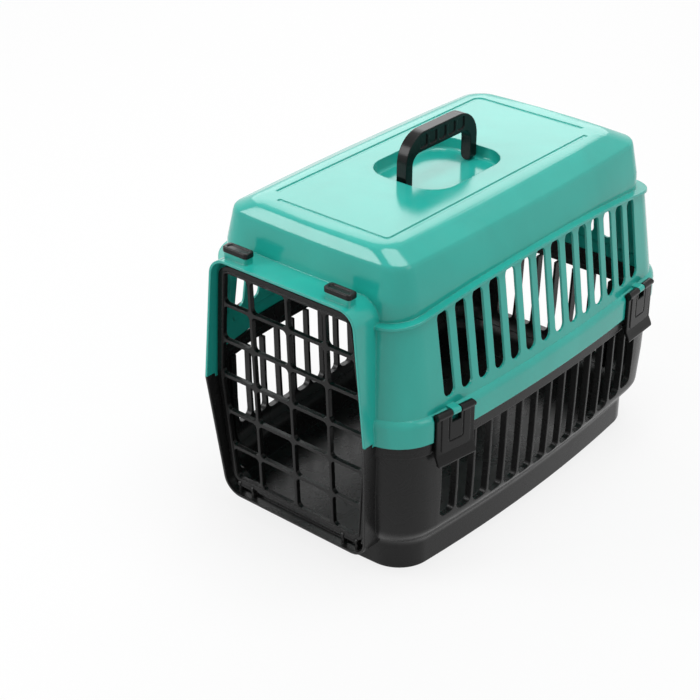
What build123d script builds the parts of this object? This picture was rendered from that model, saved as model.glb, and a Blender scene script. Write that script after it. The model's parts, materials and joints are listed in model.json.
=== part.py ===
from build123d import *
import math
import os

# Pet carrier, two moulded shells with a grille door, in millimetres.
# Origin at the middle of the base, +Z up, the door faces -Y.

# Plastic thickness and working gaps
WALL = 2.5
SHAFT_GAP = 0.1
RUN_GAP = 0.4

# Heights of the body
PARTING_Z = 161.5
LIP_BOTTOM_Z = 157.5
LIP_TOP_Z = 184.0
WALL_START_Z = 185.5
SHOULDER_Z = 296.0
ROOF_Z = 344.5

# Plan of the body, half widths at mid length and the two ends
LIP_HALF_X = 151.7
LIP_FRONT = -228.0
LIP_REAR = 239.5
LIP_RADIUS = 50.0
SIDE_BOW = 13.5
END_BOW = 4.0
WALL_HALF_X = 147.0
WALL_FRONT = -224.0
WALL_REAR = 235.5
SHOULDER_HALF_X = 131.3
SHOULDER_FRONT = -210.0
SHOULDER_REAR = 222.0
SHOULDER_RADIUS = 32.0
EAVE = 2.6
EAVE_HEIGHT = 2.8
ARCH_DROP = 10.0
ARCH_RUN = 158.0
MID_Y = 5.0

# Dome above the shoulder
DOME_HALF_X = 128.0
DOME_FRONT = -208.0
DOME_REAR = 215.0
CREASE_Z = 333.2
CREASE_HALF_X = 112.5
CREASE_FRONT = -200.5
CREASE_REAR = 209.0
CREASE_RADIUS = 23.0
PANEL_Z = 343.0
PANEL_HALF_X = 92.5
PANEL_FRONT = -193.0
PANEL_REAR = 190.0
ROOF_SET = 5.0

# Ventilation slots
SLOT_COUNT = 14
SLOT_PITCH = 24.67
SLOT_WIDTH = 15.4
SLOT_Y = -155.3
UPPER_SLOT_BOTTOM = 194.0
UPPER_SLOT_DROP = 3.4
LOWER_SLOT_WIDTH = 21.7
LOWER_SLOT_BOTTOM = 49.5
LOWER_SLOT_RISE = 10.0
LOWER_SLOT_CORNER = 7.0
REAR_SLOT_COUNT = 6
REAR_SLOT_BOTTOM = 55.0
REAR_SLOT_DROP = 9.0
REAR_SLOT_INSET = 12.0
RIB_DEPTH = 7.0
RIB_MARGIN = 6.0
RIB_FOOT_Z = 42.0

# Lower shell
PLINTH_HALF_X = 132.0
PLINTH_FRONT = -204.0
PLINTH_REAR = 214.0
PLINTH_RADIUS = 38.0
PLINTH_TOP_Z = 27.0
FLARE_Z = 54.0
FLARE_STEPS = 8
FLARE_HALF_X = 145.3
FLARE_FRONT = -212.5
FLARE_REAR = 226.0
FLARE_RADIUS = 48.0
BELLY_Z = 92.0
BELLY_HALF_X = 146.8
RIM_Z = 144.0
RIM_HALF_X = 148.0
RIM_FRONT = -221.0
RIM_REAR = 233.0
BELLY_BOW = 11.5
COLUMN_Z = 38.0
COLUMN_PROUD = 2.5
COLUMN_INSET = 0.5
BAND_PROUD = 1.4
TONGUE_Z = 168.0
LAP_GAP = 0.3
FLOOR = 3.0

# Collar round the door
COLLAR_TOP_Z = 300.0
COLLAR_BOTTOM_Z = 21.2
COLLAR_HALF_MID = 104.2
COLLAR_HALF_TOP = 90.4
COLLAR_HALF_BOTTOM = 93.5
COLLAR_RADIUS = 20.0
COLLAR_FRONT = -239.6
COLLAR_FRONT_LOW = -226.1
COLLAR_BACK = -195.0
STOP_LEDGE = 3.0
STOP_Y = -214.3

# Door
DOOR_Y = -224.2
DOOR_TILT = 0.0408
DOOR_THICK = 5.0
DOOR_HALF_MID = 99.6
DOOR_HALF_TOP = 86.4
DOOR_HALF_BOTTOM = 88.5
DOOR_TOP_Z = 291.0
DOOR_BOTTOM_Z = 35.0
DOOR_CORNER = 16.0
DOOR_FRAME = 7.4
DOOR_RAIL = 6.5
FRAME_RIDGE = 2.2
RIDGE_PROUD = 1.0
BAR = 3.4
BAR_X = 47.8
ROW_Z = 78.6
ROW_PITCH = 42.07
ROW_COUNT = 5
CELL_CORNER = 5.0

# Door hinge on the collar's floor
HINGE_Y = -219.0
HINGE_Z = 33.5
KNUCKLE_X = 70.0
KNUCKLE_LENGTH = 14.0
KNUCKLE_RADIUS = 3.4
PIN_RADIUS = 2.0
EAR_THICK = 3.0
EAR_RADIUS = 3.9
EAR_FOOT = 2.8

# Door latches on the collar's shelf
LATCH_X = 64.0
LATCH_Y = -227.0
PAD_LENGTH = 32.5
PAD_DEPTH = 13.0
PAD_THICK = 5.5
PAD_TOP_Z = 312.0
STEM_LENGTH = 22.0
STEM_THICK = 3.0
FOOT_LENGTH = 24.0
FOOT_DEPTH = 7.0
FOOT_THICK = 1.6
FOOT_Z = 292.4
LATCH_GAP = 0.5
GUIDE_BORDER = 4.0

# Handle and its recess
HANDLE_Y = -3.0
HANDLE_HALF = 57.5
HANDLE_TOP_Z = 389.0
GRIP_DEPTH = 20.5
LEG_THICK = 10.0
HANDLE_WIDTH = 12.0
HANDLE_CORNER = 30.0
HANDLE_INNER_CORNER = 12.0
PIVOT_Z = 338.0
STUB_RADIUS = 3.0
RECESS_HALF_X = 48.0
RECESS_HALF_Y = 62.0
RECESS_RADIUS = 30.0
RECESS_DEPTH = 13.0
RECESS_TAPER = 8.0
FINGER_RIBS = 5
RIB_PITCH = 15.0
GROOVE_HALF_X = 77.1
GROOVE_FRONT = -174.7
GROOVE_REAR = 168.7
GROOVE_WIDTH = 4.6
GROOVE_DEPTH = 0.9
GROOVE_ROUND = 0.6
GROOVE_BREAK = 16.0

# Side clips, turned to follow the curve of the long sides
CLIP_Y = {"front": -158.0, "rear": 166.0}
CLIP_TURN = {"front": -9.0, "rear": 3.0}
CLIP_LENGTH = 49.0
CLIP_AXIS_X = 147.2
CLIP_AXIS_Z = 183.5
CLIP_ROLL = 4.0
CLIP_THICK = 3.2
CLIP_BOTTOM_Z = 131.5
CLIP_BEND = 9.0
CLIP_FLARE = 3.6
CLIP_PIN = 2.0
NOTCH = 12.0
NOTCH_BOTTOM_Z = 173.5
LUG_WIDTH = 10.0
PANEL_MARGIN = 6.0
PANEL_PROUD = 0.9
TONGUE_LINE = 20.0
LINE_WIDTH = 1.6
SEAT_X = 142.6
SEAT_MARGIN = 1.6
CATCH_Z = 149.0
CATCH_HEIGHT = 4.0
CATCH_OUT = 2.2
HOOK_HEIGHT = 4.0


def plan(z, half_x, front, rear, radius, bow, end_bow=END_BOW):
    """Closed outline at height z with four bowed sides and round corners."""
    edge_x = half_x - bow
    middle = (front + rear) / 2
    with BuildSketch(Plane.XY.offset(z)) as outline:
        with BuildLine():
            ThreePointArc((edge_x, front + end_bow), (half_x, middle), (edge_x, rear - end_bow))
            ThreePointArc((edge_x, rear - end_bow), (0, rear), (-edge_x, rear - end_bow))
            ThreePointArc((-edge_x, rear - end_bow), (-half_x, middle), (-edge_x, front + end_bow))
            ThreePointArc((-edge_x, front + end_bow), (0, front), (edge_x, front + end_bow))
        make_face()
        fillet(outline.vertices(), radius)
    return outline.sketch


def stacked(levels, inset=0.0):
    """Solid through plan outlines, all moved inwards by the inset."""
    with BuildPart() as body:
        for z, half_x, front, rear, radius, bow in levels:
            add(plan(z, half_x - inset, front + inset, rear - inset, radius - inset, bow))
        loft(ruled=True)
    return body.part


def arch_z(y):
    """Height of the shoulder's arch at a place along the length."""
    radius = (ARCH_RUN ** 2 + ARCH_DROP ** 2) / (2 * ARCH_DROP)
    return SHOULDER_Z - radius + math.sqrt(radius ** 2 - (y - MID_Y) ** 2)


def under_arch(bottom_z, drop):
    """Block across the body whose top follows the shoulder's arch."""
    front = COLLAR_FRONT - 5
    rear = LIP_REAR + 5
    with BuildPart() as block:
        with BuildSketch(Plane.YZ):
            with BuildLine():
                Line((front, arch_z(front) - drop), (front, bottom_z))
                Line((front, bottom_z), (rear, bottom_z))
                Line((rear, bottom_z), (rear, arch_z(rear) - drop))
                ThreePointArc((rear, arch_z(rear) - drop), (MID_Y, SHOULDER_Z - drop),
                              (front, arch_z(front) - drop))
            make_face()
        extrude(amount=LIP_HALF_X + 5, both=True)
    return block.part


def wall_levels(grow=0.0):
    """Side walls of the upper shell between the lip and the shoulder."""
    return [
        (WALL_START_Z, WALL_HALF_X + grow, WALL_FRONT - grow, WALL_REAR + grow, 46 + grow, SIDE_BOW),
        (SHOULDER_Z + 4, SHOULDER_HALF_X + grow, SHOULDER_FRONT - grow, SHOULDER_REAR + grow,
         SHOULDER_RADIUS + grow, SIDE_BOW),
    ]


def lip_levels():
    """Round-shouldered band at the upper shell's foot."""
    return [
        (LIP_BOTTOM_Z, LIP_HALF_X, LIP_FRONT, LIP_REAR, LIP_RADIUS, SIDE_BOW),
        (LIP_TOP_Z - 7, LIP_HALF_X, LIP_FRONT, LIP_REAR, LIP_RADIUS, SIDE_BOW),
        (LIP_TOP_Z - 3.6, LIP_HALF_X - 0.5, LIP_FRONT + 0.4, LIP_REAR - 0.4, LIP_RADIUS, SIDE_BOW),
        (LIP_TOP_Z - 1.2, LIP_HALF_X - 1.6, LIP_FRONT + 1.3, LIP_REAR - 1.3, LIP_RADIUS - 1, SIDE_BOW),
        (LIP_TOP_Z + 0.5, LIP_HALF_X - 3.2, LIP_FRONT + 2.6, LIP_REAR - 2.6, LIP_RADIUS - 2, SIDE_BOW),
        (WALL_START_Z, WALL_HALF_X, WALL_FRONT, WALL_REAR, 46, SIDE_BOW),
    ]


def dome_levels():
    """Dome from inside the shoulder up to the flat roof."""
    return [
        (262, DOME_HALF_X, DOME_FRONT - 1, DOME_REAR + 1, 36, 11),
        (298, DOME_HALF_X - 2, DOME_FRONT, DOME_REAR, 32, 11),
        (CREASE_Z - 5, CREASE_HALF_X + 2.9, CREASE_FRONT - 1.4, CREASE_REAR + 1.2, CREASE_RADIUS + 1.5, 6),
        (CREASE_Z - 1.5, CREASE_HALF_X + 1.1, CREASE_FRONT - 0.6, CREASE_REAR + 0.5, CREASE_RADIUS + 0.5, 5.4),
        (CREASE_Z, CREASE_HALF_X - 0.6, CREASE_FRONT + 0.4, CREASE_REAR - 0.4, CREASE_RADIUS, 5),
        (PANEL_Z - 1.5, PANEL_HALF_X + 2.5, PANEL_FRONT - 2, PANEL_REAR + 3, CREASE_RADIUS, 3),
        (PANEL_Z, PANEL_HALF_X, PANEL_FRONT, PANEL_REAR, CREASE_RADIUS, 3),
        (ROOF_Z, PANEL_HALF_X - ROOF_SET, PANEL_FRONT + ROOF_SET, PANEL_REAR - ROOF_SET, 20, 3),
    ]


def six_sided(foot_half, middle_half, top_half, foot, middle, top):
    """Outline with slanting sides that is widest at the middle height."""
    with BuildSketch() as outline:
        with BuildLine():
            Polyline(
                (-foot_half, foot),
                (foot_half, foot),
                (middle_half, middle),
                (top_half, top),
                (-top_half, top),
                (-middle_half, middle),
                close=True,
            )
        make_face()
    return outline.sketch


def collar_outline(inset):
    """Outline of the collar seen from the front."""
    with BuildSketch() as outline:
        add(six_sided(COLLAR_HALF_BOTTOM, COLLAR_HALF_MID, COLLAR_HALF_TOP, COLLAR_BOTTOM_Z, PARTING_Z,
                      COLLAR_TOP_Z))
        corners = outline.vertices().sort_by(Axis.Y)
        fillet(corners[:2] + corners[-2:], COLLAR_RADIUS)
        if inset:
            offset(amount=-inset, mode=Mode.REPLACE)
    return outline.sketch


def along_y(sketch, near, far):
    """Outline in the front view drawn out between two places along Y."""
    with BuildPart() as solid:
        with BuildSketch(Plane.XZ.offset(-far)):
            add(sketch)
        extrude(amount=far - near)
    return solid.part


def slot_places():
    """Positions along Y of the ventilation slots."""
    return [SLOT_Y + SLOT_PITCH * k for k in range(SLOT_COUNT)]


def lower_slot_bottom(y):
    """The lower slots end a little higher towards both ends."""
    return LOWER_SLOT_BOTTOM + LOWER_SLOT_RISE * ((y - MID_Y) / 160) ** 2


def upper_slots():
    """Round-ended slots through both walls of the upper shell."""
    with BuildPart() as slots:
        with BuildSketch(Plane.YZ):
            for y in slot_places():
                top = arch_z(y) - UPPER_SLOT_DROP
                height = top - UPPER_SLOT_BOTTOM
                with Locations((y, UPPER_SLOT_BOTTOM + height / 2)):
                    SlotOverall(height, SLOT_WIDTH, rotation=90)
        extrude(amount=LIP_HALF_X + 5, both=True)
    return slots.part


def lower_slots():
    """Deep slots through both walls of the lower shell, up to the band."""
    length = SLOT_PITCH * SLOT_COUNT
    with BuildPart() as slots:
        with BuildSketch(Plane.YZ):
            for y in slot_places():
                bottom = lower_slot_bottom(y)
                height = RIM_Z + 10 - bottom
                with Locations((y, bottom + height / 2)):
                    RectangleRounded(LOWER_SLOT_WIDTH, height, LOWER_SLOT_CORNER)
            with Locations((MID_Y, RIM_Z / 2)):
                Rectangle(length, RIM_Z, mode=Mode.INTERSECT)
        extrude(amount=LIP_HALF_X + 5, both=True)
    return slots.part


def rear_slots(width, corner, bottom_z, top_z, highest_z):
    """Slots side by side through the rear wall, cut off level at the highest height."""
    places = [SLOT_PITCH * (k - (REAR_SLOT_COUNT - 1) / 2) for k in range(REAR_SLOT_COUNT)]
    with BuildPart() as slots:
        with BuildSketch(Plane.XZ.offset(-LIP_REAR - 5)):
            for x in places:
                with Locations((x, (bottom_z + top_z) / 2)):
                    RectangleRounded(width, top_z - bottom_z, corner)
            with Locations((0, highest_z / 2)):
                Rectangle(2 * LIP_HALF_X, highest_z, mode=Mode.INTERSECT)
        extrude(amount=LIP_REAR + 5 - SHOULDER_REAR + REAR_SLOT_INSET)
    return slots.part


def block(x0, x1, y0, y1, z0, z1):
    """Plain block between two corners."""
    with BuildPart() as solid:
        with Locations(((x0 + x1) / 2, (y0 + y1) / 2, (z0 + z1) / 2)):
            Box(abs(x1 - x0), abs(y1 - y0), abs(z1 - z0))
    return solid.part


def rod_x(x0, x1, y, z, radius):
    """Round bar along X."""
    with BuildPart() as solid:
        with BuildSketch(Plane.YZ.offset(min(x0, x1))):
            with Locations((y, z)):
                Circle(radius)
        extrude(amount=abs(x1 - x0))
    return solid.part


def rod_y(y0, y1, x, z, radius):
    """Round bar along Y."""
    with BuildPart() as solid:
        with BuildSketch(Plane.XZ.offset(-max(y0, y1))):
            with Locations((x, z)):
                Circle(radius)
        extrude(amount=abs(y1 - y0))
    return solid.part


def recess_form(grow):
    """Tapered tub with a round floor edge, larger all round by the growth."""
    with BuildPart() as tub:
        with BuildSketch(Plane.XY.offset(ROOF_Z)):
            with Locations((0, HANDLE_Y)):
                RectangleRounded(2 * (RECESS_HALF_X + grow), 2 * (RECESS_HALF_Y + grow), RECESS_RADIUS + grow)
        extrude(amount=-(RECESS_DEPTH + grow), taper=RECESS_TAPER)
        fillet(tub.faces().sort_by(Axis.Z)[0].edges(), 4 + grow)
    return tub.part


def roof_groove():
    """Round-bottomed line round the roof, broken at two opposite corners."""
    middle = (GROOVE_FRONT + GROOVE_REAR) / 2
    length = GROOVE_REAR - GROOVE_FRONT
    with BuildPart() as groove:
        with BuildSketch(Plane.XY.offset(ROOF_Z)):
            with Locations((0, middle)):
                RectangleRounded(2 * GROOVE_HALF_X, length, 9)
                RectangleRounded(2 * GROOVE_HALF_X - 2 * GROOVE_WIDTH, length - 2 * GROOVE_WIDTH, 9 - GROOVE_WIDTH,
                                 mode=Mode.SUBTRACT)
            with Locations((-GROOVE_HALF_X, GROOVE_FRONT), (GROOVE_HALF_X, GROOVE_REAR)):
                Rectangle(2 * GROOVE_BREAK, 2 * GROOVE_BREAK, mode=Mode.SUBTRACT)
        extrude(amount=-GROOVE_DEPTH)
        fillet(groove.faces().group_by(Axis.Z)[0].edges(), GROOVE_ROUND)
    return groove.part


def at_clip(solid, side, end):
    """Solid drawn for a clip at the origin, set in that clip's place."""
    with BuildPart() as placed:
        with Locations(Location((side * CLIP_AXIS_X, CLIP_Y[end], 0), (0, 0, side * CLIP_TURN[end]))):
            add(solid)
    return placed.part


def clip_block(side, inner, outer, half, z0, z1):
    """Block beside a clip's axis, given by distances from the body's middle."""
    return block(side * (inner - CLIP_AXIS_X), side * (outer - CLIP_AXIS_X), -half, half, z0, z1)


def clip_seat(side):
    """Room that both shells leave for one clip."""
    half = CLIP_LENGTH / 2 + SEAT_MARGIN
    return clip_block(side, SEAT_X, LIP_HALF_X + 10, half, CLIP_BOTTOM_Z - 4, CLIP_AXIS_Z + CLIP_ROLL + 6)


def seat_block(side):
    """Solid behind one clip in the upper shell, flush with the seat's floor."""
    half = CLIP_LENGTH / 2 + SEAT_MARGIN
    return clip_block(side, SEAT_X - 20, SEAT_X, half, LIP_BOTTOM_Z, LIP_TOP_Z)


def tongue_gap(side):
    """Gap in the lower shell's upright edge behind one clip."""
    half = CLIP_LENGTH / 2 + SEAT_MARGIN + WALL + LAP_GAP
    return clip_block(side, SEAT_X - 20, LIP_HALF_X + 10, half, LIP_BOTTOM_Z - LAP_GAP, TONGUE_Z + 1)


def clip_catch(side):
    """Ledge on the lower shell that one clip's hook snaps under."""
    return clip_block(side, SEAT_X - 1, SEAT_X + CATCH_OUT, CLIP_LENGTH / 2 - 4, CATCH_Z, CATCH_Z + CATCH_HEIGHT)


def clip_lug(side):
    """Lug on the upper shell that carries one clip's pin."""
    depth = CLIP_AXIS_X - SEAT_X + 5
    with BuildPart() as lug:
        with BuildSketch(Plane.XZ):
            with Locations((0, CLIP_AXIS_Z)):
                Circle(CLIP_ROLL - 0.3)
            with Locations((-side * depth / 2, CLIP_AXIS_Z)):
                Rectangle(depth, 2 * (CLIP_ROLL - 0.3))
            with Locations((0, CLIP_AXIS_Z)):
                Circle(CLIP_PIN + SHAFT_GAP, mode=Mode.SUBTRACT)
        extrude(amount=LUG_WIDTH / 2, both=True)
    return lug.part


def seat_cheeks(bottom_z, top_z):
    """Skin behind the clips, kept out of the shells' hollow."""
    half = CLIP_LENGTH / 2 + SEAT_MARGIN + WALL
    with BuildPart() as cheeks:
        for end in CLIP_Y:
            for side in (-1, 1):
                add(at_clip(clip_block(side, SEAT_X - WALL, LIP_HALF_X + 10, half, bottom_z, top_z), side, end))
    return cheeks.part


def hinge_ears(side):
    """Pair of ears on the collar's floor that hold the door's pin on one side."""
    with BuildPart() as ears:
        for outwards in (-1, 1):
            inner = KNUCKLE_X + outwards * (KNUCKLE_LENGTH / 2 + RUN_GAP)
            outer = inner + outwards * EAR_THICK
            add(rod_x(side * inner, side * outer, HINGE_Y, HINGE_Z, EAR_RADIUS))
            add(block(side * inner, side * outer, HINGE_Y - EAR_FOOT, HINGE_Y + EAR_FOOT,
                      COLLAR_BOTTOM_Z + WALL / 2, HINGE_Z))
    return ears.part


def hinge_rod(side, radius, extra):
    """Round bar on the hinge's line that reaches past one pair of ears."""
    half = KNUCKLE_LENGTH / 2 + RUN_GAP + EAR_THICK + extra
    return rod_x(side * (KNUCKLE_X - half), side * (KNUCKLE_X + half), HINGE_Y, HINGE_Z, radius)


def ear_room(side):
    """Room round one pair of ears in the door's bottom rail."""
    with BuildPart() as room:
        for outwards in (-1, 1):
            inner = KNUCKLE_X + outwards * KNUCKLE_LENGTH / 2
            outer = inner + outwards * (EAR_THICK + 2 * RUN_GAP)
            add(rod_x(side * inner, side * outer, HINGE_Y, HINGE_Z, EAR_RADIUS + RUN_GAP))
    return room.part


def lower_collar():
    """Lower half of the collar, stepped to pass in front of the lip."""
    across = COLLAR_HALF_MID + 1
    with BuildPart() as half:
        add(along_y(collar_outline(0), COLLAR_FRONT, COLLAR_BACK))
        add(block(-across, across, COLLAR_FRONT - 1, COLLAR_BACK + 1, PARTING_Z, COLLAR_TOP_Z + 1),
            mode=Mode.SUBTRACT)
        add(block(-across, across, LIP_FRONT - LAP_GAP, COLLAR_BACK + 1, LIP_BOTTOM_Z - LAP_GAP, PARTING_Z + 1),
            mode=Mode.SUBTRACT)
        add(front_slant(), mode=Mode.SUBTRACT)
    return half.part


def flare_level(z):
    """Outline of the lower shell between the plinth and the slotted sides."""
    share = min(max((z - PLINTH_TOP_Z) / (FLARE_Z - PLINTH_TOP_Z), 0), 1)
    out = (1 - math.cos(math.pi * share)) / 2
    return (
        z,
        PLINTH_HALF_X + out * (FLARE_HALF_X - PLINTH_HALF_X),
        PLINTH_FRONT + out * (FLARE_FRONT - PLINTH_FRONT),
        PLINTH_REAR + out * (FLARE_REAR - PLINTH_REAR),
        PLINTH_RADIUS + out * (FLARE_RADIUS - PLINTH_RADIUS),
        BELLY_BOW,
    )


def flare_heights():
    """Heights at which the flare's outline is taken."""
    return [PLINTH_TOP_Z + (FLARE_Z - PLINTH_TOP_Z) * step / FLARE_STEPS for step in range(FLARE_STEPS + 1)]


def side_levels():
    """Nearly upright sides of the lower shell above the flare."""
    return [
        (BELLY_Z, BELLY_HALF_X, RIM_FRONT + 4, RIM_REAR - 3, LIP_RADIUS, BELLY_BOW),
        (RIM_Z, RIM_HALF_X, RIM_FRONT, RIM_REAR, LIP_RADIUS, SIDE_BOW),
        (LIP_BOTTOM_Z, RIM_HALF_X, RIM_FRONT - 1, RIM_REAR + 1, LIP_RADIUS, SIDE_BOW),
    ]


def lower_levels():
    """Plinth, flare and barrel-shaped sides of the lower shell."""
    foot = [
        (0, PLINTH_HALF_X - 2, PLINTH_FRONT + 2, PLINTH_REAR - 2, PLINTH_RADIUS - 2, BELLY_BOW),
        (0.8, PLINTH_HALF_X - 0.6, PLINTH_FRONT + 0.6, PLINTH_REAR - 0.6, PLINTH_RADIUS - 0.6, BELLY_BOW),
        (2.5, PLINTH_HALF_X, PLINTH_FRONT, PLINTH_REAR, PLINTH_RADIUS, BELLY_BOW),
    ]
    return foot + [flare_level(z) for z in flare_heights()] + side_levels()


def column_levels():
    """Corner columns, fuller than the sides at the corners and ending above the plinth."""
    levels = [flare_level(COLUMN_Z)]
    levels += [flare_level(z) for z in flare_heights() if z > COLUMN_Z + WALL / 2]
    levels += side_levels()
    return [
        (z, half_x - COLUMN_INSET, front - COLUMN_PROUD, rear + COLUMN_PROUD, radius - COLUMN_PROUD, bow)
        for z, half_x, front, rear, radius, bow in levels
    ]


def tongue_levels():
    """Upright edge of the lower shell that stands inside the lip."""
    inset = WALL + LAP_GAP
    size = (LIP_HALF_X - inset, LIP_FRONT + inset, LIP_REAR - inset, LIP_RADIUS - inset, SIDE_BOW)
    return [(LIP_BOTTOM_Z - 8, *size), (TONGUE_Z, *size)]


def band_levels():
    """Plain band round the lower shell just under the lip."""
    proud = BAND_PROUD
    size = (RIM_HALF_X + proud, RIM_FRONT - 3 - proud, RIM_REAR + 3 + proud, LIP_RADIUS - 2 + proud, SIDE_BOW)
    return [(RIM_Z, *size), (LIP_BOTTOM_Z - 2 * LAP_GAP, *size)]


def stretch(levels, bottom_z=None, top_z=None):
    """The same outlines with the first or the last one moved in height."""
    moved = list(levels)
    if bottom_z is not None:
        moved[0] = (bottom_z, *moved[0][1:])
    if top_z is not None:
        moved[-1] = (top_z, *moved[-1][1:])
    return moved


def front_slant():
    """Everything in front of the lower collar's sloping rim."""
    with BuildPart() as wedge:
        with BuildSketch(Plane.YZ):
            with BuildLine():
                Polyline(
                    (COLLAR_FRONT, PARTING_Z + 1),
                    (COLLAR_FRONT, PARTING_Z),
                    (COLLAR_FRONT_LOW, COLLAR_BOTTOM_Z),
                    (COLLAR_FRONT_LOW, COLLAR_BOTTOM_Z - 2),
                    (COLLAR_FRONT - 20, COLLAR_BOTTOM_Z - 2),
                    (COLLAR_FRONT - 20, PARTING_Z + 1),
                    close=True,
                )
            make_face()
        extrude(amount=COLLAR_HALF_MID + 10, both=True)
    return wedge.part


def door_plane():
    """Middle plane of the closed door, leaning back towards its foot."""
    return Plane(origin=(0, DOOR_Y, PARTING_Z), x_dir=(1, 0, 0), z_dir=(0, -1, -DOOR_TILT))


def door_outline():
    """Outline of the door in its own plane."""
    with BuildSketch() as outline:
        add(six_sided(DOOR_HALF_BOTTOM, DOOR_HALF_MID, DOOR_HALF_TOP, DOOR_BOTTOM_Z - PARTING_Z, 0,
                      DOOR_TOP_Z - PARTING_Z))
        corners = outline.vertices().sort_by(Axis.Y)
        fillet(corners[:2] + corners[-2:], DOOR_CORNER)
    return outline.sketch


def door_cell(left, right, low, high):
    """One opening between the door's bars, trimmed by the frame."""
    with BuildSketch() as cell:
        add(six_sided(DOOR_HALF_BOTTOM - DOOR_FRAME, DOOR_HALF_MID - DOOR_FRAME, DOOR_HALF_TOP - DOOR_FRAME,
                      DOOR_BOTTOM_Z + DOOR_RAIL - PARTING_Z, 0, DOOR_TOP_Z - DOOR_FRAME - PARTING_Z))
        with Locations(((left + right) / 2, (low + high) / 2)):
            Rectangle(right - left, high - low, mode=Mode.INTERSECT)
        fillet(cell.vertices(), CELL_CORNER)
    return cell.sketch


def door_cells():
    """All openings of the door's grille."""
    columns = [-DOOR_HALF_MID, -BAR_X, 0, BAR_X, DOOR_HALF_MID]
    rows = [DOOR_BOTTOM_Z - PARTING_Z]
    rows += [ROW_Z + row * ROW_PITCH - PARTING_Z for row in range(ROW_COUNT)]
    rows += [DOOR_TOP_Z - PARTING_Z]
    with BuildSketch() as cells:
        for left, right in zip(columns[:-1], columns[1:]):
            for low, high in zip(rows[:-1], rows[1:]):
                add(door_cell(left + BAR / 2, right - BAR / 2, low + BAR / 2, high - BAR / 2))
    return cells.sketch


def frame_ridge():
    """Thin raised line round the inner edge of the door's frame."""
    with BuildSketch() as ridge:
        for edge, mode in ((DOOR_FRAME - FRAME_RIDGE, Mode.ADD), (DOOR_FRAME - 0.4, Mode.SUBTRACT)):
            with BuildSketch(mode=Mode.PRIVATE) as outline:
                add(six_sided(DOOR_HALF_BOTTOM - edge, DOOR_HALF_MID - edge, DOOR_HALF_TOP - edge,
                              DOOR_BOTTOM_Z + DOOR_RAIL - DOOR_FRAME + edge - PARTING_Z, 0,
                              DOOR_TOP_Z - edge - PARTING_Z))
                corners = outline.vertices().sort_by(Axis.Y)
                fillet(corners[:2] + corners[-2:], CELL_CORNER + DOOR_FRAME - edge)
            add(outline.sketch, mode=mode)
    return ridge.sketch


def knuckle(side):
    """Door knuckle moulded in one with its pin."""
    with BuildPart() as hinge:
        half = KNUCKLE_LENGTH / 2
        add(rod_x(side * (KNUCKLE_X - half), side * (KNUCKLE_X + half), HINGE_Y, HINGE_Z, KNUCKLE_RADIUS))
        add(hinge_rod(side, PIN_RADIUS, 0))
    return hinge.part


def latch_guide(side):
    """Raised guide on the collar's shelf, with the slot for one latch."""
    floor_z = COLLAR_TOP_Z - 2.4
    top_z = PAD_TOP_Z - PAD_THICK - LATCH_GAP
    with BuildPart() as guide:
        with BuildSketch(Plane.XY.offset(floor_z)):
            with Locations((side * LATCH_X, LATCH_Y)):
                RectangleRounded(STEM_LENGTH + 2 * GUIDE_BORDER, STEM_THICK + 2 * GUIDE_BORDER, 2.5)
        extrude(amount=top_z - floor_z)
    return guide.part


def latch_slot(side):
    """Slot through the shelf and the guide for one latch's stem."""
    return block(side * LATCH_X - STEM_LENGTH / 2 - LATCH_GAP, side * LATCH_X + STEM_LENGTH / 2 + LATCH_GAP,
                 LATCH_Y - STEM_THICK / 2 - LATCH_GAP, LATCH_Y + STEM_THICK / 2 + LATCH_GAP,
                 COLLAR_TOP_Z - 8, PAD_TOP_Z)


def handle_boss(end):
    """Boss in the recess's end wall that carries one of the handle's stubs."""
    wall_y = HANDLE_Y + end * (RECESS_HALF_Y - 1)
    return rod_y(wall_y, wall_y + end * 7, 0, PIVOT_Z, STUB_RADIUS + 2.2)


def handle_bore():
    """Bearing holes for the handle's stubs, on one line."""
    reach = RECESS_HALF_Y + 8
    return rod_y(HANDLE_Y - reach, HANDLE_Y + reach, 0, PIVOT_Z, STUB_RADIUS + SHAFT_GAP)


def handle_profile(half, top_z, corner, bottom_z):
    """Arch outline in the side view."""
    with BuildSketch() as arch:
        with Locations((HANDLE_Y, (top_z + bottom_z) / 2)):
            Rectangle(2 * half, top_z - bottom_z)
        fillet(arch.vertices().sort_by(Axis.Y)[-2:], corner)
    return arch.sketch


def clip_profile():
    """Section of a right-hand clip seen from the front, its pin's axis at X 0."""
    inner = -CLIP_THICK / 2
    outer = CLIP_THICK / 2
    foot = CLIP_BOTTOM_Z
    seat = SEAT_X + 0.8 - CLIP_AXIS_X
    with BuildSketch() as section:
        with BuildLine():
            Polyline(
                (inner, CLIP_AXIS_Z),
                (inner, foot + CLIP_BEND),
                (inner + CLIP_FLARE, foot + 2),
                (inner + CLIP_FLARE, foot),
                (outer + CLIP_FLARE, foot),
                (outer + CLIP_FLARE, foot + 2.5),
                (outer, foot + CLIP_BEND + 1),
                (outer, CLIP_AXIS_Z),
                close=True,
            )
        make_face()
        with Locations((0, CLIP_AXIS_Z)):
            Circle(CLIP_ROLL)
        with Locations((CLIP_FLARE, CLIP_BOTTOM_Z)):
            Circle(CLIP_THICK / 2 + 0.6)
        with Locations(((seat + outer) / 2, CATCH_Z - RUN_GAP - HOOK_HEIGHT / 2)):
            Rectangle(outer - seat, HOOK_HEIGHT)
    return section.sketch


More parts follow.
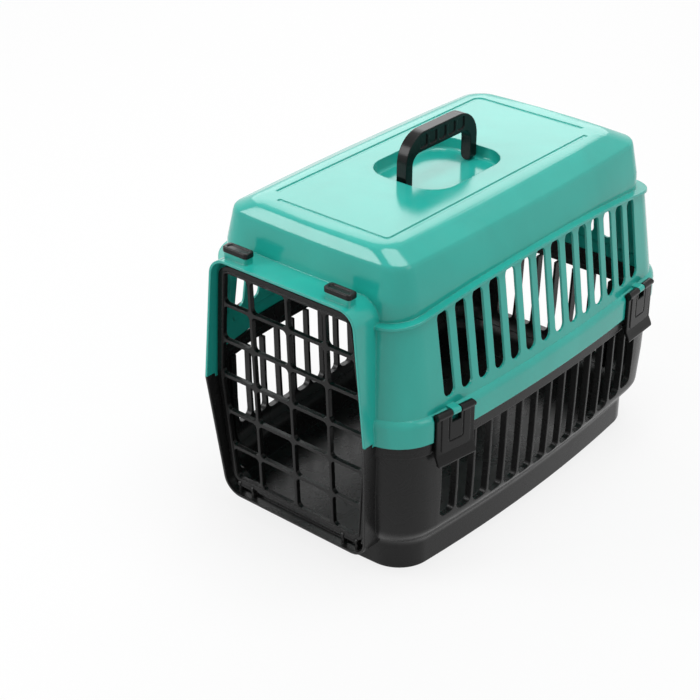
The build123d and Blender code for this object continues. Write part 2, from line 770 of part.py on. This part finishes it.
def clip_face():
    """Raised panel of a clip with the line round its middle tongue."""
    low = CLIP_BOTTOM_Z + CLIP_BEND + 2
    high = CLIP_AXIS_Z
    line_low = low + PANEL_MARGIN + 4
    with BuildSketch() as face:
        with Locations((0, (low + high) / 2)):
            RectangleRounded(CLIP_LENGTH - 2 * PANEL_MARGIN, high - low, 4)
        with Locations((0, (line_low + high) / 2)):
            RectangleRounded(TONGUE_LINE, high - line_low, 3, mode=Mode.SUBTRACT)
            RectangleRounded(TONGUE_LINE - 2 * LINE_WIDTH, high - line_low - 2 * LINE_WIDTH, 2)
    return face.sketch


def side_clip():
    """Right-hand clip at the origin with its pin, keyhole notch and raised face."""
    with BuildPart() as clip:
        with BuildSketch(Plane.XZ):
            add(clip_profile())
        extrude(amount=CLIP_LENGTH / 2, both=True)
        foot_z = CLIP_BOTTOM_Z - CLIP_THICK
        with BuildSketch(Plane.YZ):
            with Locations((0, (foot_z + CLIP_AXIS_Z + CLIP_ROLL + 1) / 2)):
                RectangleRounded(CLIP_LENGTH, CLIP_AXIS_Z + CLIP_ROLL + 1 - foot_z, 5)
        extrude(amount=CLIP_ROLL * 3, both=True, mode=Mode.INTERSECT)
        with BuildSketch(Plane.YZ.offset(CLIP_THICK / 2 - 0.5)):
            add(clip_face())
        extrude(amount=PANEL_PROUD + 0.5)
        add(block(-10, 10, -NOTCH / 2, NOTCH / 2, NOTCH_BOTTOM_Z, CLIP_AXIS_Z + 10), mode=Mode.SUBTRACT)
        add(rod_y(-NOTCH, NOTCH, 0, CLIP_AXIS_Z, CLIP_PIN))
    return clip.part


# Shared outlines of the collar
collar_outer = collar_outline(0)
collar_inner = collar_outline(WALL)
doorway = collar_outline(WALL + STOP_LEDGE)

# Hollow of the upper shell, opened downwards past the lip
with BuildPart() as upper_hollow:
    add(stacked(wall_levels(), WALL))
    add(under_arch(WALL_START_Z - 10, WALL), mode=Mode.INTERSECT)
    add(stacked(stretch(lip_levels(), bottom_z=LIP_BOTTOM_Z - 5), WALL))
    add(stacked(dome_levels()[:-1], WALL))
    add(seat_cheeks(LIP_BOTTOM_Z - 6, LIP_TOP_Z + WALL), mode=Mode.SUBTRACT)

# Eave that follows the arch just above the slots
with BuildPart() as eave:
    add(stacked(wall_levels(EAVE)))
    add(under_arch(WALL_START_Z - 10, 0), mode=Mode.INTERSECT)
    add(under_arch(WALL_START_Z - 20, EAVE_HEIGHT), mode=Mode.SUBTRACT)

with BuildPart() as upper_shell:
    add(stacked(wall_levels()))
    add(under_arch(WALL_START_Z - 10, 0), mode=Mode.INTERSECT)
    add(eave.part)
    add(stacked(lip_levels()))
    add(stacked(dome_levels()))
    for side in (-1, 1):
        for end in CLIP_Y:
            add(at_clip(seat_block(side), side, end))
    add(along_y(collar_outer, COLLAR_FRONT, COLLAR_BACK))
    add(block(-COLLAR_HALF_MID - 1, COLLAR_HALF_MID + 1, COLLAR_FRONT - 5, LIP_FRONT, COLLAR_BOTTOM_Z - 5,
              PARTING_Z), mode=Mode.SUBTRACT)
    add(block(-LIP_HALF_X, LIP_HALF_X, COLLAR_FRONT - 5, COLLAR_BACK + 5, COLLAR_BOTTOM_Z - 5, LIP_BOTTOM_Z),
        mode=Mode.SUBTRACT)
    for side in (-1, 1):
        for end in CLIP_Y:
            add(at_clip(clip_seat(side), side, end), mode=Mode.SUBTRACT)
    add(upper_hollow.part, mode=Mode.SUBTRACT)
    add(along_y(collar_inner, COLLAR_FRONT - 1, STOP_Y), mode=Mode.SUBTRACT)
    add(along_y(doorway, COLLAR_FRONT - 1, COLLAR_BACK + 30), mode=Mode.SUBTRACT)
    add(recess_form(WALL))
    for end in (-1, 1):
        add(handle_boss(end))
    add(recess_form(0), mode=Mode.SUBTRACT)
    add(handle_bore(), mode=Mode.SUBTRACT)
    add(roof_groove(), mode=Mode.SUBTRACT)
    for side in (-1, 1):
        add(latch_guide(side))
        add(latch_slot(side), mode=Mode.SUBTRACT)
        for end in CLIP_Y:
            add(at_clip(clip_lug(side), side, end))
    add(upper_slots(), mode=Mode.SUBTRACT)
    rear_top_z = arch_z(WALL_REAR) - REAR_SLOT_DROP
    add(rear_slots(SLOT_WIDTH, SLOT_WIDTH / 2 - 0.1, UPPER_SLOT_BOTTOM, rear_top_z, rear_top_z),
        mode=Mode.SUBTRACT)

# The slotted sides and rear of the lower shell are thick enough for deep ribs
with BuildPart() as rib_zone:
    rib_front = SLOT_Y - SLOT_PITCH / 2 - RIB_MARGIN
    rib_rear = SLOT_Y + SLOT_PITCH * (SLOT_COUNT - 0.5) + RIB_MARGIN
    add(block(COLLAR_HALF_MID, LIP_HALF_X + 5, rib_front, rib_rear, RIB_FOOT_Z, RIM_Z))
    add(block(-LIP_HALF_X - 5, -COLLAR_HALF_MID, rib_front, rib_rear, RIB_FOOT_Z, RIM_Z))
    rear_half = SLOT_PITCH * REAR_SLOT_COUNT / 2 + RIB_MARGIN
    add(block(-rear_half, rear_half, SHOULDER_REAR - REAR_SLOT_INSET, LIP_REAR + 5, RIB_FOOT_Z, RIM_Z))
    add(stacked(lower_levels(), RIB_DEPTH), mode=Mode.SUBTRACT)

with BuildPart() as lower_hollow:
    add(stacked(stretch(lower_levels()[1:], bottom_z=FLOOR), WALL))
    add(stacked(column_levels()[1:], WALL))
    add(stacked(stretch(tongue_levels(), top_z=TONGUE_Z + 5), WALL))
    add(seat_cheeks(CLIP_BOTTOM_Z - 10, TONGUE_Z + 6), mode=Mode.SUBTRACT)
    add(rib_zone.part, mode=Mode.SUBTRACT)

with BuildPart() as lower_shell:
    add(stacked(lower_levels()))
    add(stacked(column_levels()))
    add(stacked(band_levels()))
    add(stacked(tongue_levels()))
    for side in (-1, 1):
        for end in CLIP_Y:
            add(at_clip(tongue_gap(side), side, end), mode=Mode.SUBTRACT)
    add(block(-COLLAR_HALF_MID - 1, COLLAR_HALF_MID + 1, COLLAR_FRONT, COLLAR_BACK, PARTING_Z, TONGUE_Z + 1),
        mode=Mode.SUBTRACT)
    add(lower_collar())
    add(lower_hollow.part, mode=Mode.SUBTRACT)
    add(along_y(collar_inner, COLLAR_FRONT - 1, STOP_Y), mode=Mode.SUBTRACT)
    add(along_y(doorway, COLLAR_FRONT - 1, COLLAR_BACK + 30), mode=Mode.SUBTRACT)
    for side in (-1, 1):
        for end in CLIP_Y:
            add(at_clip(clip_seat(side), side, end), mode=Mode.SUBTRACT)
            add(at_clip(clip_catch(side), side, end))
        add(hinge_ears(side))
        add(hinge_rod(side, PIN_RADIUS + SHAFT_GAP, RUN_GAP), mode=Mode.SUBTRACT)
    add(lower_slots(), mode=Mode.SUBTRACT)
    add(rear_slots(LOWER_SLOT_WIDTH, LOWER_SLOT_CORNER, REAR_SLOT_BOTTOM, RIM_Z + 10, RIM_Z), mode=Mode.SUBTRACT)

with BuildPart() as door:
    with BuildSketch(door_plane()):
        add(door_outline())
        add(door_cells(), mode=Mode.SUBTRACT)
    extrude(amount=DOOR_THICK / 2, both=True)
    with BuildSketch(door_plane()):
        add(frame_ridge())
    extrude(amount=DOOR_THICK / 2 + RIDGE_PROUD)
    for side in (-1, 1):
        add(ear_room(side), mode=Mode.SUBTRACT)
        add(knuckle(side))

with BuildPart() as handle:
    with BuildSketch(Plane.YZ):
        add(handle_profile(HANDLE_HALF, HANDLE_TOP_Z, HANDLE_CORNER, PIVOT_Z - HANDLE_WIDTH / 2))
        add(handle_profile(HANDLE_HALF - LEG_THICK, HANDLE_TOP_Z - GRIP_DEPTH, HANDLE_INNER_CORNER,
                           PIVOT_Z - HANDLE_WIDTH), mode=Mode.SUBTRACT)
    extrude(amount=HANDLE_WIDTH / 2, both=True)
    foot_edges = handle.edges().filter_by(Axis.Y).group_by(Axis.Z)[0]
    fillet(foot_edges, HANDLE_WIDTH / 2 - 0.1)
    for face_x in (-1, 1):
        with BuildSketch(Plane.YZ.offset(face_x * HANDLE_WIDTH / 2)):
            for rib in range(FINGER_RIBS):
                with Locations((HANDLE_Y + RIB_PITCH * (rib - (FINGER_RIBS - 1) / 2),
                                HANDLE_TOP_Z - GRIP_DEPTH / 2)):
                    RectangleRounded(RIB_PITCH - 3, GRIP_DEPTH - 7, 3)
        extrude(amount=-face_x * 1.2, mode=Mode.SUBTRACT)
    for end in (-1, 1):
        leg_y = HANDLE_Y + end * (HANDLE_HALF - 2)
        add(rod_y(leg_y, HANDLE_Y + end * (RECESS_HALF_Y + 5.5), 0, PIVOT_Z, STUB_RADIUS))

pieces = {"upper_shell": upper_shell, "lower_shell": lower_shell, "door": door, "handle": handle}

# The two door latches and the four side clips are mirrored pairs
for side, name in ((-1, "left"), (1, "right")):
    with BuildPart() as latch:
        with BuildSketch(Plane.XY.offset(PAD_TOP_Z - PAD_THICK)):
            with Locations((side * LATCH_X, LATCH_Y)):
                RectangleRounded(PAD_LENGTH, PAD_DEPTH, 4)
        extrude(amount=PAD_THICK)
        fillet(latch.faces().sort_by(Axis.Z)[-1].edges(), 1.5)
        with BuildSketch(Plane.XY.offset(PAD_TOP_Z)):
            with Locations((side * LATCH_X, LATCH_Y)):
                RectangleRounded(PAD_LENGTH - 7, PAD_DEPTH - 6, 3)
        extrude(amount=-1.2, taper=20, mode=Mode.SUBTRACT)
        add(block(side * LATCH_X - STEM_LENGTH / 2, side * LATCH_X + STEM_LENGTH / 2, LATCH_Y - STEM_THICK / 2,
                  LATCH_Y + STEM_THICK / 2, FOOT_Z, PAD_TOP_Z - PAD_THICK + 1))
        add(block(side * LATCH_X - FOOT_LENGTH / 2, side * LATCH_X + FOOT_LENGTH / 2, LATCH_Y - FOOT_DEPTH / 2,
                  LATCH_Y + FOOT_DEPTH / 2, FOOT_Z, FOOT_Z + FOOT_THICK))
    pieces["door_latch_" + name] = latch
    for end in CLIP_Y:
        with BuildPart() as clip:
            add(at_clip(side_clip(), 1, end))
            if side < 0:
                mirror(about=Plane.YZ, mode=Mode.REPLACE)
        pieces["clip_" + end + "_" + name] = clip

os.makedirs("parts", exist_ok=True)
for name, piece in pieces.items():
    piece.part.label = name
    export_step(piece.part, "parts/" + name + ".step")
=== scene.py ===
import json
import math

import bmesh
import bpy
from mathutils import Matrix, Vector

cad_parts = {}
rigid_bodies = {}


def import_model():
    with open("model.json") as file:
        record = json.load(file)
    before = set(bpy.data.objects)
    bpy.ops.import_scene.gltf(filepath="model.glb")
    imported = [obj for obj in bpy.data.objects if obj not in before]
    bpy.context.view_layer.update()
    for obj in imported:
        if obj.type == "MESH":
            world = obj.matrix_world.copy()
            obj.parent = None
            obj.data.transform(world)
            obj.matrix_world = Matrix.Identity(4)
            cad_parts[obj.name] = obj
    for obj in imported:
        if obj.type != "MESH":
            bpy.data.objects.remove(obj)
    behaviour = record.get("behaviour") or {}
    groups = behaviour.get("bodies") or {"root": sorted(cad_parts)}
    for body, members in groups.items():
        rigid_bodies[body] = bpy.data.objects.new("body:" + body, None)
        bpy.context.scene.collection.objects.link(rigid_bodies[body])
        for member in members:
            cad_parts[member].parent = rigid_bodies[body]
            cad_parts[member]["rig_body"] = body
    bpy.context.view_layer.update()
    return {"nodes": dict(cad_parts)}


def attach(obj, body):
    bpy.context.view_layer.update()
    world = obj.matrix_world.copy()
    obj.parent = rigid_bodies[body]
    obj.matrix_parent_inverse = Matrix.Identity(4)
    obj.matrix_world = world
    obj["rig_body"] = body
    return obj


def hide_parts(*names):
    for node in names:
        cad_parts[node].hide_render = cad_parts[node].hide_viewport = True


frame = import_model()
MM = 0.001

# Camera of the photograph, in metres and degrees
EYE = Vector((0.9665, -1.2723, 1.0331))
YAW = math.radians(40.442)
PITCH = math.radians(29.618)
ROLL = math.radians(-0.05)
LENS = 88.25
SENSOR = 36.0
CLIP_NEAR = 0.05
CLIP_FAR = 50

# Rounding of the moulded edges: which edges are sharp, and the radius that the shading adds
SHARP = math.radians(28)
HARD = math.radians(40)
FLAT = math.radians(0.6)
MERGE = 0.01 * MM
BEVEL_STEPS = 2
EDGE_ROUND = 1.5 * MM

# Plastics: base colours, the colour of dust and the refractive index
MINT = (0.018, 0.4, 0.335)
BLACK = (0.012, 0.012, 0.012)
TRIM_SHADE = 0.5
DUST = (0.55, 0.54, 0.5)
PLASTIC_IOR = 1.49

# Marks on the plastic, as noise scales per metre
FLOW_SCALE = 14
GRAIN_SCALE = 1400
WEAR_SCALE = 160
SPECK_SCALE = 520
FILM_SCALE = 22
SCRATCH_SCALE = 75
SCRATCH_STRETCH = 22.0
PATCH_SCALE = 9
SMUDGE_SCALE = 30
PEEL_SCALE = 240
FINE_SCALE = 1900
RELIEF = 0.1 * MM

# Studio: floor, background and the share of both that glows for the camera
FLOOR_RADIUS = 9
FLOOR_DROP = 0.4 * MM
FLOOR_GREY = 0.86
FLOOR_ROUGH = 0.9
FLOOR_GLOW = 0.82
ROOM_LIGHT = 0.35
CENTRE = (0, 0, 0.2)


def place_camera():
    """Camera at the photograph's viewing angle."""
    forward = Vector((-math.sin(YAW) * math.cos(PITCH), math.cos(YAW) * math.cos(PITCH), -math.sin(PITCH)))
    right = Vector((math.cos(YAW), math.sin(YAW), 0))
    up = right.cross(forward)
    turn = Matrix((right, up, -forward)).transposed().to_4x4()
    data = bpy.data.cameras.new("camera")
    data.lens = LENS
    data.sensor_width = SENSOR
    data.clip_start = CLIP_NEAR
    data.clip_end = CLIP_FAR
    camera = bpy.data.objects.new("camera", data)
    camera.matrix_world = Matrix.Translation(EYE) @ turn @ Matrix.Rotation(ROLL, 4, "Z")
    bpy.context.scene.collection.objects.link(camera)
    bpy.context.scene.camera = camera


def softbox(name, place, width, height, watts, target=CENTRE):
    """Rectangular white studio lamp that points at the target and isn't seen itself."""
    data = bpy.data.lights.new(name, "AREA")
    data.shape = "RECTANGLE"
    data.size = width
    data.size_y = height
    data.energy = watts
    lamp = bpy.data.objects.new(name, data)
    lamp.location = place
    lamp.rotation_mode = "QUATERNION"
    lamp.rotation_quaternion = (Vector(target) - Vector(place)).to_track_quat("-Z", "Y")
    lamp.visible_camera = False
    bpy.context.scene.collection.objects.link(lamp)


class Nodes:
    """Short hand for adding and linking shader nodes."""

    def __init__(self, tree):
        self.tree = tree

    def add(self, kind, **values):
        node = self.tree.nodes.new(kind)
        for key, value in values.items():
            setattr(node, key, value)
        return node

    def link(self, source, target):
        self.tree.links.new(source, target)

    def noise(self, vector, scale, detail=2.0, roughness=0.5, distortion=0.0):
        node = self.add("ShaderNodeTexNoise")
        node.inputs["Scale"].default_value = scale
        node.inputs["Detail"].default_value = detail
        node.inputs["Roughness"].default_value = roughness
        node.inputs["Distortion"].default_value = distortion
        self.link(vector, node.inputs["Vector"])
        return node.outputs["Fac"]

    def mapped(self, vector, scale, rotation=(0.0, 0.0, 0.0)):
        """A vector turned and then stretched."""
        node = self.add("ShaderNodeMapping")
        node.inputs["Rotation"].default_value = rotation
        node.inputs["Scale"].default_value = scale
        self.link(vector, node.inputs["Vector"])
        return node.outputs["Vector"]

    def ramp(self, value, low, high, from_value=0.0, to_value=1.0):
        """Straight map of a value from one range to another, clamped."""
        node = self.add("ShaderNodeMapRange")
        self.link(value, node.inputs["Value"])
        node.inputs["From Min"].default_value = low
        node.inputs["From Max"].default_value = high
        node.inputs["To Min"].default_value = from_value
        node.inputs["To Max"].default_value = to_value
        return node.outputs["Result"]

    def maths(self, operation, first, second):
        node = self.add("ShaderNodeMath", operation=operation)
        for socket, value in zip(node.inputs, (first, second)):
            if isinstance(value, (int, float)):
                socket.default_value = value
            else:
                self.link(value, socket)
        return node.outputs["Value"]

    def blend(self, factor, first, second):
        """Mix of two colours by a factor."""
        node = self.add("ShaderNodeMix", data_type="RGBA")
        self.link(factor, node.inputs["Factor"])
        for socket, value in ((node.inputs[6], first), (node.inputs[7], second)):
            if isinstance(value, tuple):
                socket.default_value = (*value, 1)
            else:
                self.link(value, socket)
        return node.outputs[2]

    def seen(self):
        """1 for rays from the camera, mirrors and clear things, 0 for light that falls on surfaces."""
        rays = self.add("ShaderNodeLightPath")
        direct = self.maths("MAXIMUM", rays.outputs["Is Camera Ray"], rays.outputs["Is Glossy Ray"])
        return self.maths("MAXIMUM", direct, rays.outputs["Is Transmission Ray"])


def shade(colour, factor):
    """A colour made lighter or darker."""
    return tuple(min(1.0, channel * factor) for channel in colour)


def plastic(name, colour, rough, mirror, dust, edge):
    """Injection-moulded plastic with flow marks, grain, fine scratches, dust and rubbed edges."""
    material = bpy.data.materials.new(name)
    material.use_nodes = True
    n = Nodes(material.node_tree)
    shader = material.node_tree.nodes["Principled BSDF"]
    place = n.add("ShaderNodeTexCoord").outputs["Object"]
    geometry = n.add("ShaderNodeNewGeometry")

    # Colour: flow marks and grain of the moulded plastic
    upright = n.mapped(place, (1.0, 1.0, 0.35))
    flow = n.ramp(n.noise(upright, FLOW_SCALE, 3, 0.55, 0.6), 0.3, 0.7)
    grain = n.ramp(n.noise(place, GRAIN_SCALE, 2), 0.35, 0.65)
    base = n.blend(flow, shade(colour, 0.93), shade(colour, 1.06))
    base = n.blend(n.maths("MULTIPLY", grain, 0.12), base, shade(colour, 1.25))

    # Rubbed edges, found where the rounded normal leaves the face's own
    rounded = n.add("ShaderNodeBevel", samples=4)
    rounded.inputs["Radius"].default_value = EDGE_ROUND
    along = n.add("ShaderNodeVectorMath", operation="DOT_PRODUCT")
    n.link(rounded.outputs["Normal"], along.inputs[0])
    n.link(geometry.outputs["Normal"], along.inputs[1])
    worn = n.ramp(along.outputs["Value"], 0.995, 0.9)
    worn = n.maths("MULTIPLY", worn, n.ramp(n.noise(place, WEAR_SCALE, 4, 0.7), 0.42, 0.62))
    base = n.blend(n.maths("MULTIPLY", worn, edge), base, shade(colour, 1.6))

    # Dust that settles on faces that look up
    upward = n.add("ShaderNodeSeparateXYZ")
    n.link(geometry.outputs["Normal"], upward.inputs["Vector"])
    settled = n.ramp(upward.outputs["Z"], 0.2, 0.95)
    specks = n.ramp(n.noise(place, SPECK_SCALE, 3, 0.75), 0.6, 0.74)
    film = n.ramp(n.noise(place, FILM_SCALE, 4, 0.6, 0.4), 0.45, 0.75)
    dusty = n.maths("MULTIPLY", settled, n.maths("ADD", n.maths("MULTIPLY", specks, 0.5), film))
    base = n.blend(n.maths("MULTIPLY", dusty, dust), base, DUST)
    n.link(base, shader.inputs["Base Color"])

    # Gloss, broken by smudges, scratches, dust and wear
    slanted = n.mapped(place, (1.0, SCRATCH_STRETCH, 1.0), (0.5, 0.9, 0.3))
    scratch = n.ramp(n.noise(slanted, SCRATCH_SCALE, 3, 0.6, 0.3), 0.68, 0.74)
    scratch = n.maths("MULTIPLY", scratch, n.ramp(n.noise(place, PATCH_SCALE, 2), 0.45, 0.7))
    smudge = n.ramp(n.noise(place, SMUDGE_SCALE, 5, 0.62, 0.8), 0.3, 0.75, rough * 0.85, rough * 1.25)
    gloss = n.maths("ADD", smudge, n.maths("MULTIPLY", scratch, 0.06))
    gloss = n.maths("ADD", gloss, n.maths("MULTIPLY", dusty, 0.05))
    n.link(n.maths("ADD", gloss, n.maths("MULTIPLY", worn, 0.1)), shader.inputs["Roughness"])

    # Relief: slight orange peel, fine grain and scratches
    peel = n.noise(place, PEEL_SCALE, 2, 0.5)
    fine = n.noise(place, FINE_SCALE, 2, 0.6)
    height = n.maths("ADD", n.maths("MULTIPLY", peel, 0.5), n.maths("MULTIPLY", fine, 0.06))
    height = n.maths("SUBTRACT", height, n.maths("MULTIPLY", scratch, 0.05))
    bump = n.add("ShaderNodeBump")
    bump.inputs["Strength"].default_value = 0.1
    bump.inputs["Distance"].default_value = RELIEF
    n.link(height, bump.inputs["Height"])
    n.link(rounded.outputs["Normal"], bump.inputs["Normal"])
    n.link(bump.outputs["Normal"], shader.inputs["Normal"])
    shader.inputs["IOR"].default_value = PLASTIC_IOR
    shader.inputs["Specular IOR Level"].default_value = mirror
    return material


def moulded(node, material, radius):
    """Copy of a CAD node with its edges rounded as a mould leaves them, shown in its place."""
    source = frame["nodes"][node]
    mesh = source.data.copy()
    if "custom_normal" in mesh.attributes:
        mesh.attributes.remove(mesh.attributes["custom_normal"])
    form = bmesh.new()
    form.from_mesh(mesh)
    bmesh.ops.remove_doubles(form, verts=form.verts, dist=MERGE)
    bmesh.ops.dissolve_limit(form, angle_limit=FLAT, verts=form.verts, edges=form.edges)
    edges = [e for e in form.edges if len(e.link_faces) == 2 and e.calc_face_angle(0) > SHARP]
    bmesh.ops.bevel(form, geom=edges, offset=radius, offset_type="OFFSET", segments=BEVEL_STEPS, profile=0.5,
                    affect="EDGES", clamp_overlap=True)
    bmesh.ops.triangulate(form, faces=[f for f in form.faces if len(f.verts) > 4])
    for face in form.faces:
        face.smooth = True
    form.to_mesh(mesh)
    form.free()
    mesh.set_sharp_from_angle(angle=HARD)
    mesh.materials.clear()
    mesh.materials.append(material)
    piece = bpy.data.objects.new(node + "_moulding", mesh)
    bpy.context.scene.collection.objects.link(piece)
    normals = piece.modifiers.new("normals", "WEIGHTED_NORMAL")
    normals.keep_sharp = True
    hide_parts(node)
    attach(piece, source["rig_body"])
    return piece


def make_floor():
    """Pale floor that keeps the object's shadow."""
    bpy.ops.mesh.primitive_circle_add(vertices=96, radius=FLOOR_RADIUS, fill_type="NGON",
                                      location=(0, 0, -FLOOR_DROP))
    floor = bpy.context.object
    floor.name = "floor"
    material = bpy.data.materials.new("floor")
    material.use_nodes = True
    n = Nodes(material.node_tree)
    shader = material.node_tree.nodes["Principled BSDF"]
    shader.inputs["Base Color"].default_value = (FLOOR_GREY, FLOOR_GREY, FLOOR_GREY, 1)
    shader.inputs["Roughness"].default_value = FLOOR_ROUGH
    glow = n.add("ShaderNodeEmission")
    glow.inputs["Color"].default_value = (1, 1, 1, 1)
    glow.inputs["Strength"].default_value = 1.0
    both = n.add("ShaderNodeMixShader")
    n.link(n.maths("MULTIPLY", n.seen(), FLOOR_GLOW), both.inputs[0])
    n.link(shader.outputs["BSDF"], both.inputs[1])
    n.link(glow.outputs["Emission"], both.inputs[2])
    n.link(both.outputs["Shader"], material.node_tree.nodes["Material Output"].inputs["Surface"])
    floor.data.materials.append(material)


def light_studio():
    """Plain soft light from above, from both sides and from behind."""
    world = bpy.data.worlds.new("studio")
    bpy.context.scene.world = world
    world.use_nodes = True
    n = Nodes(world.node_tree)
    background = world.node_tree.nodes["Background"]
    background.inputs["Color"].default_value = (1, 1, 1, 1)
    n.link(n.ramp(n.seen(), 0, 1, ROOM_LIGHT, 1.0), background.inputs["Strength"])
    softbox("top_lamp", (0.3, 0.1, 2.3), width=1.2, height=1.2, watts=25)
    softbox("front_lamp", (-1.6, -1.9, 1.6), width=1.2, height=1.2, watts=31)
    softbox("side_lamp", (2.1, 0.2, 1.5), width=1.0, height=1.4, watts=7)
    softbox("back_lamp", (-1.5, 1.75, 1.55), width=2.4, height=1.4, watts=22, target=(0, 0, 0.3))


place_camera()
light_studio()
make_floor()

mint = plastic("mint_plastic", MINT, rough=0.14, mirror=0.5, dust=0.02, edge=0.25)
dark = plastic("dark_plastic", BLACK, rough=0.26, mirror=0.2, dust=0.02, edge=0.4)
trim = plastic("trim_plastic", shade(BLACK, TRIM_SHADE), rough=0.2, mirror=0.2, dust=0.02, edge=0.4)

# Material, slot of the record and edge radius in millimetres
finish_of = {
    "upper_shell": (mint, "mint_shell", 0.6),
    "lower_shell": (dark, "dark_shell", 0.6),
    "handle": (trim, "black_trim", 1.2),
}
for name in frame["nodes"]:
    material, slot, radius = finish_of.get(name, (trim, "black_trim", 0.5))
    moulded(name, material, radius * MM)

bpy.context.scene.view_settings.view_transform = "Standard"
